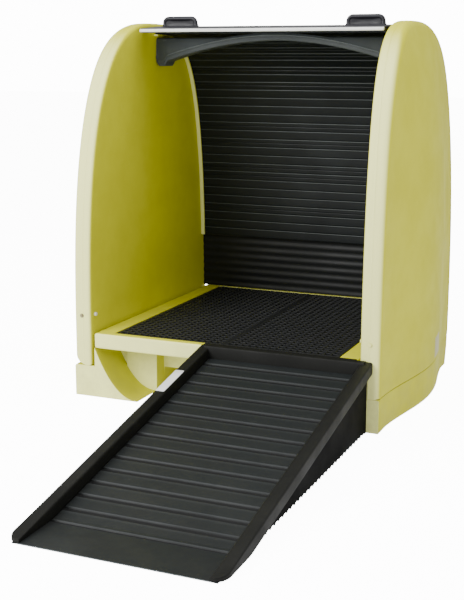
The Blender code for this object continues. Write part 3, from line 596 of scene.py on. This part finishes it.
webs = [extrude(rounded_section(0.036, 0.106, 0.004) + (side * 0.662, 0.156), 1, -0.4865, 0.4865, 3)
        for side in (-1, 1)]
piece("side_webs", webs, "pallet", yellow)
piece("moulded_tray", [base_tray()], "pallet", yellow,
      replaces=("base_sump",), sharp=60.0)
for side, word in ((-1, "left"), (1, "right")):
    piece("skirt_" + word, [skirt(side)], "pallet", yellow, sharp=50.0)
    for end, end_word in ((-1, "front"), (1, "rear")):
        piece("foot_" + word + "_" + end_word, [corner_foot(side, end)], "pallet", yellow,
              bevel=0.007, segments=3)


# ------------------------------------------------------------------ deck grates
def hole_lines(low, high, count):
    """Both edges of each of count equal holes from low to high, with a bar between neighbours."""
    pitch = (high - low + GRATE_BAR) / count
    start = low + pitch * np.arange(count)
    return np.column_stack([start, start + pitch - GRATE_BAR]).ravel()


def grate(side):
    """Plate with oblong holes: cells between lines, dropped where both line numbers are odd; the upper
    edge of each bar is drawn in by a chamfer."""
    x = np.concatenate([[GRATE_IN], hole_lines(GRATE_BORDER, GRATE_OUT - GRATE_BORDER, 16), [GRATE_OUT]])
    y = np.concatenate([[-0.655], hole_lines(-0.636, 0.636, 34), [0.655]])
    solid = np.ones((len(x) - 1, len(y) - 1), dtype=bool)
    solid[1::2, 1::2] = False
    solid[-1, :] = True
    solid[:, -1] = True
    grid_x, grid_y = np.meshgrid(x, y, indexing="ij")
    count = grid_x.size
    levels = [np.stack([side * grid_x, grid_y, np.full_like(grid_x, z)], axis=-1).reshape(-1, 3)
              for z in (0.3380, 0.3004)]
    index = np.arange(count).reshape(grid_x.shape)
    cells = np.stack([index[:-1, :-1], index[1:, :-1], index[1:, 1:], index[:-1, 1:]], axis=-1)
    top = cells[solid]
    ring = np.pad(solid, 1)
    walls = []
    for shift, pair in (((0, 1), (0, 3)), ((2, 1), (2, 1)), ((1, 0), (1, 0)), ((1, 2), (3, 2))):
        beside = ring[shift[0]:shift[0] + solid.shape[0], shift[1]:shift[1] + solid.shape[1]]
        open_side = solid & ~beside
        edge = cells[open_side][:, list(pair)]
        walls.append(np.stack([edge[:, 0], edge[:, 1], edge[:, 1] + count, edge[:, 0] + count], axis=1))
    faces = np.vstack([top, top[:, ::-1] + count] + walls)
    return np.vstack(levels), faces.tolist()


for side, word in ((-1, "left"), (1, "right")):
    piece("grate_" + word, [grate(side)], word + "_grate", grate_black,
          replaces=("deck_grate_" + word,), bevel=0.0014, segments=1)


# ------------------------------------------------------------------ stowed slats, rear wall, tracks
def sheet_along(path, normal, upper, lower, half, columns=10):
    """Closed sheet: across X from -half to half, its two faces held off the path by upper and lower."""
    across = np.linspace(-1, 1, columns)
    top = path + normal * upper[:, None]
    low = path + normal * lower[:, None]
    x = np.concatenate([np.outer(half, across), np.outer(half, across[::-1])], axis=1)
    y = np.concatenate([np.repeat(top[:, :1], columns, 1), np.repeat(low[:, :1], columns, 1)], axis=1)
    z = np.concatenate([np.repeat(top[:, 1:], columns, 1), np.repeat(low[:, 1:], columns, 1)], axis=1)
    return tube(np.stack([x, y, z], axis=-1))


def slat_profile(along):
    """Face of the curtain: each slat crowns 1.6 mm between grooves, with a small bead beside the groove."""
    part = (along / SLAT_PITCH) % 1.0
    crown = 0.0006 * np.sin(math.pi * part)
    bead = 0.0010 * np.exp(-((part - 0.07) / 0.022) ** 2)
    groove = -0.0024 * np.exp(-((part - 0.5 + np.sign(0.5 - part) * 0.5) / 0.018) ** 2)
    return 0.0030 + crown + bead + groove


path, normal, along = line_along(SLAT_INSET, -0.0201, SLATS * SLAT_PITCH, SLATS * 22 + 1)
face = slat_profile(along)
half = inner_x(path[:, 1]) - 0.006
slat_names = ["door_slat_%02d" % number for number in range(1, SLATS + 1)]
slats = sheet_along(path, normal, face, -face, half)
piece("stowed_slats", [slats], "pallet", slat_black, replaces=slat_names, sharp=60.0,
      values={"along": np.repeat(along, 20)})

path, normal, along = line_along(0.030, 0.0, 3.0, 900)
keep = path[:, 1] > LIP + 0.0004
path, normal, along = path[keep], normal[keep], along[keep]
rib = 0.0016 * np.sin(along / 0.045 * 2 * math.pi)
half = inner_x(path[:, 1]) - 0.0006
piece("rear_cover", [sheet_along(path, normal, 0.003 + rib, -0.003 + rib, half, 8)], "pallet", wall_black,
      replaces=("rear_wall",), sharp=60.0)


def track(side):
    """Ledge under the slat ends: a rounded section 24 by 9 mm carried along the inset outline."""
    path, normal, _ = line_along(SLAT_INSET, -0.0201, SLATS * SLAT_PITCH, 260)
    section = rounded_section(0.0118, 0.0046, 0.0022, 4)
    mid_x = inner_x(path[:, 1]) - 0.0004 - 0.0120
    off = -(0.0045 + 0.0004 + 0.0050) + section[:, 1]
    x = side * (mid_x[:, None] + section[None, :, 0])
    y = path[:, :1] + normal[:, :1] * off[None, :]
    z = path[:, 1:] + normal[:, 1:] * off[None, :]
    return tube(np.stack([x, y, z], axis=-1))


for side, word in ((-1, "left"), (1, "right")):
    piece("track_" + word, [track(side)], "pallet", yellow,
          replaces=("door_track_" + word,), sharp=40.0)


# ------------------------------------------------------------------ header
def header_low(x):
    """Lower edge of the header: a shallow arch between two end blocks, joined by rounded corners."""
    share = np.clip(np.abs(x) / 0.627, 0.0, 1.0)
    arch_z = 1.807 - 0.107 * share ** 1.9
    block = smooth_step(0.622, 0.642, np.abs(x))
    corner = 0.018 * smooth_step(0.668, 0.6878, np.abs(x)) ** 2
    return arch_z * (1 - block) + 1.675 * block + corner


def header_body():
    """Hollow-backed beam: at each station across X a closed section with a rounded front, a bead line
    above the lower edge and a flange under it."""
    x = lines(mirrored(np.concatenate([[0.0], np.linspace(0.618, 0.6872, 30)])), 0.008)
    low = header_low(x)
    reach = inner_x(1.78) - 0.0006
    x = x * reach / x.max()
    top = 1.8255
    section = [(0.014, -1, 0.004), (0.0100, -1, 0.000 + 0.010), (0.0100, 0, 0.040), (0.0070, 0, 0.034),
               (0.0060, 0, 0.028), (0.0072, 0, 0.022), (0.0112, 0, 0.020), (0.0118, 0, 0.006),
               (0.0140, 0, 0.0015), (0.0180, 0, 0.0), (0.112, 0, 0.0), (0.118, 0, 0.003), (0.120, 0, 0.010),
               (0.120, -1, 0.012), (0.118, -1, 0.004), (0.112, -1, 0.0), (0.020, -1, 0.0)]
    rings = []
    for y, from_top, off in section:
        z = np.full_like(x, top - off) if from_top else low + off
        rings.append(np.stack([x, np.full_like(x, y), z], axis=1))
    return tube(np.array(rings).transpose(1, 0, 2))


def header_edge():
    """Bright bead along the arch: a small round section carried along the lower edge."""
    x = np.linspace(-0.617, 0.617, 200)
    turn = np.linspace(0, 2 * math.pi, 12, endpoint=False)
    z = header_low(x)[:, None] + 0.0295 + 0.0026 * np.sin(turn)[None, :]
    y = 0.0062 - 0.0030 * np.cos(turn)[None, :] + 0 * z
    return tube(np.stack([np.repeat(x[:, None], 12, 1), y, z], axis=-1))


piece("header_moulding", [header_body()], "pallet", header_black, replaces=("header_beam",),
      sharp=45.0)
piece("header_bead", [header_edge()], "pallet", edge_grey, sharp=60.0)


# ------------------------------------------------------------------ leading rail, seal, handles, shoes
def on_rail(part, x=0.0, along=0.0, out=0.0):
    """Seat a part drawn flat (X across, Y down the door, Z out) on the rail."""
    return moved(moved(part, None, (x, along, out)), turn_x(RAIL_TURN), RAIL_MID)


def rail_profile():
    """Section of the leading rail: a flat bar with two stiffening grooves and rounded edges."""
    breaks = np.concatenate([[0.0], around(0.030, 0.046, width=0.003), around(0.098, width=0.002)])
    y = lines(mirrored(breaks), 0.012)
    edge = np.clip((np.abs(y) - 0.092) / 0.0081, 0, 0.999)
    half = 0.011 * np.sqrt(1 - edge ** 4)
    groove = 0.0026 * np.exp(-((np.abs(y) - 0.038) / 0.007) ** 4)
    return np.vstack([np.stack([y, half - groove], axis=1), np.stack([y[::-1], -half[::-1]], axis=1)])


def handle():
    """Round bar bent to a U, its ends spread into feet: a circle carried along the bent line."""
    rise, half, corner, bar = 0.0400, 0.0900, 0.024, 0.0118
    turn = np.linspace(0, math.pi / 2, 9)
    left = np.stack([-half + corner * (1 - np.cos(turn)), rise - corner * (1 - np.sin(turn))], axis=1)
    left = np.vstack([[[-half, 0.0], [-half, 0.003], [-half, 0.006]], left])
    line = np.vstack([left, left[::-1] * (-1, 1)])
    slope = np.gradient(line, axis=0)
    slope /= np.linalg.norm(slope, axis=1, keepdims=True)
    side_way = np.stack([-slope[:, 1], slope[:, 0]], axis=1)
    spread = 1.0 + 0.35 * np.exp(-(line[:, 1] / 0.005) ** 2)
    around_bar = np.linspace(0, 2 * math.pi, 20, endpoint=False)
    ring_u, ring_v = bar * np.cos(around_bar), bar * np.sin(around_bar)
    x = line[:, :1] + side_way[:, :1] * ring_u * spread[:, None]
    z = line[:, 1:] + side_way[:, 1:] * ring_u * spread[:, None]
    y = ring_v[None, :] * spread[:, None]
    return tube(np.stack([x, y, np.maximum(z, 0.0)], axis=-1))


def handle_web():
    """Thin dished web that closes the front of the handle below the bar."""
    x = np.linspace(-0.086, 0.086, 41)
    z = np.linspace(0.001, 0.037, 15)
    grid_x, grid_z = np.meshgrid(x, z, indexing="ij")
    dish = 0.004 * np.exp(-(grid_x / 0.06) ** 4 - ((grid_z - 0.019) / 0.013) ** 4)
    points, faces = slab(x, z, 0.002 + 0 * grid_x + dish, -0.001 + dish)
    return np.stack([points[:, 0], points[:, 2] - 0.006, points[:, 1]], axis=1), faces


def handle_plate():
    """Backing plate between the handle's feet, dished where the fingers go."""
    x = np.linspace(-0.100, 0.100, 41)
    y = np.linspace(-0.024, 0.024, 17)
    grid_x, grid_y = np.meshgrid(x, y, indexing="ij")
    dish = 0.0022 * np.exp(-(grid_x / 0.055) ** 4 - (grid_y / 0.015) ** 4)
    rim = 0.0028 * (1 - np.clip((np.abs(grid_x) - 0.096) / 0.004, 0, 1) ** 2)
    top = 0.0008 + rim * (1 - np.clip((np.abs(grid_y) - 0.021) / 0.003, 0, 1) ** 2) - dish
    return slab(x, y, top, np.zeros_like(top))


rail_bar = extrude(rail_profile(), 0, -0.6555, 0.6555, 30)
piece("leading_bar", [on_rail(rail_bar)], "front_door", rail_black, replaces=("leading_rail",),
      bevel=0.002)
lip = rounded_section(0.0078, 0.0070, 0.0050, 6)
lip[:, 1] += 0.0012 * np.sin(lip[:, 0] / 0.0078 * math.pi)
piece("white_seal", [on_rail(extrude(lip, 0, -0.6555, 0.6555, 30), along=-0.1084)], "front_door",
      seal_white, replaces=("edge_seal",), bevel=0.0015)
hex_bolt = lathe([(0.0, 0.0), (0.0105, 0.0), (0.0105, 0.0016), (0.0072, 0.0017)], 30)
hex_head = lathe([(0.0070, 0.0012), (0.0070, 0.0052), (0.0058, 0.0062), (0.0, 0.0062)], 30, 6)
for side, word in ((-1, "left"), (1, "right")):
    pull = [on_rail(part, side * 0.51, 0.075, 0.0114) for part in (handle(), handle_web())]
    piece("pull_" + word, pull, "front_door", rail_black, replaces=("grab_handle_" + word,),
          sharp=50.0)
    piece("pull_plate_" + word, [on_rail(handle_plate(), side * 0.51, 0.075, 0.0110)], "front_door",
          rail_black, sharp=50.0)
    shoe_wide = float(inner_x(1.874)) - 0.6572
    shoe = extrude(rounded_section(0.0345, 0.0078, 0.004), 0, 0.6566, 0.6566 + shoe_wide - 0.0008, 3)
    shoe = (shoe[0] * (side, 1, 1), shoe[1])
    piece("shoe_" + word, [on_rail(shoe)], "door_shoes", rail_black,
          replaces=("guide_shoe_" + word,), bevel=0.0012)


def curtain():
    """Slatted curtain under the rail: one fixed sheet laid flat along the rail from its rear to its front
    end, its faces held off that line along directions away from the door's pivot. The slat profile is laid
    out by the length drawn out."""
    count = CURTAIN_SLATS * 16 + 1
    drawn = np.linspace(0.0, 1.0, count)
    blend = 0.5 - np.sin(np.arcsin(1 - 2 * drawn) / 3)
    y = CURTAIN_BACK + (CURTAIN_FRONT - CURTAIN_BACK) * blend
    z = 1.8505 + math.tan(RAIL_TURN) * (y - RAIL_MID[1])
    path = np.stack([y, z], axis=1)
    normal = path - PIVOT[1:]
    normal /= np.linalg.norm(normal, axis=1, keepdims=True)
    drawn_out = drawn * CURTAIN_SLATS * SLAT_PITCH
    face = slat_profile(drawn_out) * 0.62
    half = np.full(count, 0.672)
    return sheet_along(path, normal, face, -face, half, 6), np.repeat(drawn_out, 12)


curtain_part, curtain_along = curtain()
drape = piece("front_curtain", [curtain_part], None, slat_black, sharp=60.0,
              values={"along": curtain_along})
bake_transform(drape)


# ------------------------------------------------------------------ ramp
def curb_top(run):
    """Height of the curbs at a run from the rear end."""
    return 0.345 - RAMP_SLOPE * run


def deck_rise(run, x):
    """Raised treads: wide, slightly tilted pads with rounded edges and a narrow groove between two."""
    number = run / PAD_PITCH
    part = (number - np.floor(number) - 0.5) * PAD_PITCH
    pad = 1 - smooth_step(PAD_WIDE / 2 - 0.006, PAD_WIDE / 2 + 0.001, np.abs(part))
    pad = pad * (1 - smooth_step(INNER_HALF - 0.040, INNER_HALF - 0.026, np.abs(x)))
    tilt = 0.0012 * part / PAD_WIDE
    return (0.0070 + tilt) * pad * (run < PADS * PAD_PITCH)


def ramp_deck():
    """Sloping sheet with treads: its top is the slope plus the tread height, its underside 14 mm below."""
    stops = [0.003, 1.490]
    for k in range(PADS):
        middle = (k + 0.5) * PAD_PITCH
        for edge in (-PAD_WIDE / 2, PAD_WIDE / 2):
            stops += list(middle + edge + np.linspace(-0.006, 0.006, 7))
    run = lines([s for s in stops if 0.003 <= s <= 1.490] + list(np.linspace(1.49, 1.698, 12)), 0.0035)
    x = lines(mirrored(np.concatenate([[0.0], np.linspace(INNER_HALF - 0.042, INNER_HALF - 0.024, 7),
                                       [INNER_HALF - 0.002]])), 0.05)
    grid_run, grid_x = np.meshgrid(run, x, indexing="ij")
    slope_z = np.maximum(curb_top(grid_run) - 0.058, 0.0062)
    toe = smooth_step(1.60, 1.698, grid_run)
    slope_z = slope_z * (1 - toe) + 0.0050 * toe
    top = slope_z + deck_rise(grid_run, grid_x)
    under = np.maximum(slope_z - 0.014, 0.0)
    upper = np.stack([grid_x + RAMP_MID, RAMP_BACK - grid_run, top], axis=-1)
    lower = np.stack([grid_x + RAMP_MID, RAMP_BACK - grid_run, np.minimum(under, top - 0.004)], axis=-1)
    height = np.clip(deck_rise(grid_run, grid_x) / 0.0068, 0.0, 1.0) + (grid_run > PADS * PAD_PITCH)
    rings = np.concatenate([upper, lower[:, ::-1]], axis=1)
    return tube(rings), np.concatenate([height, height[:, ::-1]], axis=1)


def curb(side):
    """Curb: a rounded section whose top follows the slope and thins to the toe."""
    run = lines([0.0, 0.004, 1.35, 1.45, 1.60] + list(np.linspace(1.64, 1.698, 16)), 0.03)
    top = np.maximum(curb_top(run), 0.012 - 0.004 * (run > 1.69))
    low = np.maximum(curb_top(run) - 0.062, 0.002)
    turn = np.linspace(0, 2 * math.pi, 40, endpoint=False)
    wide = np.sign(np.cos(turn)) * np.abs(np.cos(turn)) ** 0.32
    tall = np.sign(np.sin(turn)) * np.abs(np.sin(turn)) ** 0.32
    past = np.clip((run - 1.640) / 0.0585, 0.0, 0.999)
    outer = 0.4375 - 0.046 * (1 - np.sqrt(1 - past ** 2))
    x = RAMP_MID + side * ((outer + 0.3815)[:, None] / 2 + (outer - 0.3815)[:, None] / 2 * wide[None, :])
    z = (top + low)[:, None] / 2 + (top - low)[:, None] / 2 * tall[None, :]
    y = np.repeat(RAMP_BACK - run[:, None], len(turn), 1)
    return tube(np.stack([x, y, z], axis=-1), ends="fan")


def ramp_side(side):
    """Side wall whose lower edge is a row of shallow scallops, |sin| shaped, 10 mm tall."""
    run = np.linspace(0.0015, 1.585, 760)
    top = np.maximum(curb_top(run) - 0.012, 0.006)
    wave = np.abs(np.sin(run / 0.0435 * math.pi)) ** 0.7
    low = 0.001 + 0.010 * wave * (run > 0.02) * (run < 1.46)
    low = np.minimum(low, top - 0.003)
    outer = RAMP_MID + side * (INNER_HALF + 0.0)
    rings = []
    for x, z in ((outer, low), (outer, low + 0.002), (outer - side * 0.0005, (low + top) / 2), (outer, top),
                 (outer - side * 0.014, top), (outer - side * 0.014, low)):
        rings.append(np.stack([np.full_like(run, x), RAMP_BACK - run, z], axis=1))
    return tube(np.array(rings).transpose(1, 0, 2))


def ramp_hook():
    """Hook over the lip with a rounded nose, and the head bar that joins the curbs in front of it."""
    nose = np.array([(-0.030, 0.275), (-0.001, 0.275), (-0.001, 0.3384), (0.0205, 0.3384), (0.0220, 0.3410),
                     (0.0200, 0.3460), (0.0150, 0.3490), (0.0060, 0.3504), (-0.018, 0.3504), (-0.026, 0.3492),
                     (-0.030, 0.3455)])
    head = np.array([(-0.036, 0.262), (-0.0015, 0.262), (-0.0015, 0.3475), (-0.004, 0.3500), (-0.024, 0.3500),
                     (-0.033, 0.3470), (-0.036, 0.3400)])
    return [extrude(nose + (RAMP_BACK, 0), 0, -0.0725, 0.700, 60),
            extrude(head + (RAMP_BACK, 0), 0, -0.0600, 0.7500, 60)]


def toe_edge():
    """Thin strip along the toe, let in at the curbs."""
    section = rounded_section(0.0012, 0.0018, 0.0007, 4) + (RAMP_BACK - 1.6985, 0.0026)
    return extrude(section, 0, -0.045, 0.735, 20)


def rear_web():
    return extrude(rounded_section(INNER_HALF - 0.004, 0.106, 0.012) + (RAMP_MID, 0.168), 1,
                   RAMP_BACK - 0.018, RAMP_BACK - 0.0045, 3)


deck, deck_height = ramp_deck()
piece("ramp_deck", [deck], "ramp", ramp_black, replaces=("ramp_body",), sharp=40.0,
      values={"raised": deck_height.ravel()})
piece("ramp_toe_edge", [toe_edge()], "ramp", edge_grey)
piece("ramp_hook", ramp_hook(), "ramp", curb_black, sharp=40.0)
piece("ramp_rear_web", [rear_web()], "ramp", shaded_ramp_black, bevel=0.002)
for side, word in ((-1, "left"), (1, "right")):
    piece("ramp_curb_" + word, [curb(side)], "ramp", curb_black, sharp=50.0)
    piece("ramp_side_" + word, [ramp_side(side)], "ramp", shaded_ramp_black, sharp=45.0)


# ------------------------------------------------------------------ labels, bolts and lugs
def plate(wide, tall, thick=0.0008):
    """Thin blank plate with rounded corners and a lifted edge of a tenth of a millimetre."""
    outline_loop = rounded_section(wide / 2, tall / 2, 0.006, 6)
    rings = [np.column_stack([outline_loop * (1 - inset), np.full(len(outline_loop), z)])
             for inset, z in ((0.0, 0.0), (0.0, thick * 0.7), (0.004, thick), (0.5, thick * 1.02))]
    return tube(np.array(rings), ends="fan")


def on_box(part, node_name, turn, lift=0.0):
    """Put a part drawn about the origin on the middle of a node's box."""
    low, high = (np.array(corner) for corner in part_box(node_name))
    return moved(part, turn, (low + high) / 2 + np.array(lift))


slope_turn = math.atan(RAMP_SLOPE)
label = on_box(plate(0.044, 0.220), "ramp_label", turn_x(slope_turn))
piece("curb_label", [label], "ramp", label_pale, replaces=("ramp_label",), sharp=50.0)


def side_label():
    """Blank plate that follows the swollen face: the face height plus a thickness with rounded edges."""
    y, z = np.linspace(0.085, 0.245, 25), np.linspace(0.180, 0.290, 21)
    grid_y, grid_z = np.meshgrid(y, z, indexing="ij")
    face = outer_x(grid_z) + swell(grid_y, grid_z)
    rim = np.maximum(np.abs(grid_y - 0.165) / 0.080, np.abs(grid_z - 0.235) / 0.055)
    points, faces = slab(y, z, face + 0.0012 * (1 - smooth_step(0.93, 1.0, rim)), face - 0.002)
    return points[:, (2, 0, 1)], faces


piece("side_label", [side_label()], "pallet", label_tan,
      replaces=("panel_label",), sharp=50.0)
big_bolt = [hex_bolt, (hex_head[0] * (1.25, 1.25, 1.0), hex_head[1])]
lug = lathe([(0.0, 0.0), (0.0098, 0.0), (0.0100, 0.0015), (0.0100, 0.0085), (0.0088, 0.0108), (0.0, 0.0116)])
for side, word in ((-1, "left"), (1, "right")):
    low, high = (np.array(corner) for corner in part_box("rim_bolt_" + word))
    seat = np.array(((low[0] + high[0]) / 2, high[1], (low[2] + high[2]) / 2))
    bolt = [moved(part, turn_x(math.pi / 2), seat) for part in big_bolt]
    piece("bolt_" + word, bolt, "pallet", zinc if side < 0 else yellow,
          replaces=("rim_bolt_" + word,), sharp=30.0)
    low, high = (np.array(corner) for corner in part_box("lock_lug_" + word))
    base_x = low[0] if side < 0 else high[0]
    seat = np.array((base_x, (low[1] + high[1]) / 2, (low[2] + high[2]) / 2))
    piece("lug_" + word, [moved(lug, turn_y(-side * math.pi / 2), seat)], "pallet",
          lug_pale if side < 0 else yellow, replaces=("lock_lug_" + word,), sharp=40.0)


# ------------------------------------------------------------------ studio
def studio():
    """Pale floor, white surroundings, a broad front key from the left, a side fill and a soft overhead."""
    floor_mesh = bpy.data.meshes.new("studio_floor")
    floor_mesh.from_pydata([(-40, -40, -0.001), (40, -40, -0.001), (40, 40, -0.001), (-40, 40, -0.001)], [],
                           [(0, 1, 2, 3)])
    floor = bpy.data.objects.new("studio_floor", floor_mesh)
    bpy.context.scene.collection.objects.link(floor)
    paper = bpy.data.materials.new("pale_floor")
    paper.use_nodes = True
    shader = paper.node_tree.nodes["Principled BSDF"]
    shader.inputs["Base Color"].default_value = (0.93, 0.93, 0.93, 1)
    shader.inputs["Roughness"].default_value = 0.9
    shader.inputs["Emission Color"].default_value = (1, 1, 1, 1)
    seen = paper.node_tree.nodes.new("ShaderNodeLightPath")
    glow = paper.node_tree.nodes.new("ShaderNodeMapRange")
    glow.inputs["To Min"].default_value, glow.inputs["To Max"].default_value = FLOOR_GLOW
    paper.node_tree.links.new(seen.outputs["Is Camera Ray"], glow.inputs["Value"])
    paper.node_tree.links.new(glow.outputs["Result"], shader.inputs["Emission Strength"])
    floor_mesh.materials.append(paper)
    world = bpy.data.worlds.new("white_surroundings")
    bpy.context.scene.world = world
    world.use_nodes = True
    background = world.node_tree.nodes["Background"]
    background.inputs["Color"].default_value = (1, 1, 1, 1)
    ray = world.node_tree.nodes.new("ShaderNodeLightPath")
    strength = world.node_tree.nodes.new("ShaderNodeMapRange")
    strength.inputs["To Min"].default_value, strength.inputs["To Max"].default_value = WORLD_GLOW
    world.node_tree.links.new(ray.outputs["Is Camera Ray"], strength.inputs["Value"])
    world.node_tree.links.new(strength.outputs["Result"], background.inputs["Strength"])
    for name, where, aim, size, power in (
            ("front_key", (-2.6, -5.2, 3.4), (0.0, 0.0, 0.8), 3.0, 420.0),
            ("side_fill", (3.6, -3.4, 2.2), (-0.6, 0.0, 0.9), 2.5, 30.0),
            ("overhead", (0.4, -0.8, 4.6), (0.1, -0.6, 0.4), 3.0, 120.0)):
        lamp_data = bpy.data.lights.new(name, "AREA")
        lamp_data.size = size
        lamp_data.energy = power
        lamp = bpy.data.objects.new(name, lamp_data)
        bpy.context.scene.collection.objects.link(lamp)
        lamp.location = where
        away = np.array(where) - np.array(aim)
        flat = math.hypot(away[0], away[1])
        lamp.rotation_euler = (math.atan2(flat, away[2]), 0.0, math.atan2(away[0], -away[1]))
    lens = bpy.data.cameras.new("main_camera")
    lens.lens = 68.5
    camera = bpy.data.objects.new("main_camera", lens)
    bpy.context.scene.collection.objects.link(camera)
    camera.location = (2.21, -5.649, 1.747)
    camera.rotation_euler = (math.radians(90 - 12.23), 0.0, math.radians(23.4))
    bpy.context.scene.camera = camera


studio()
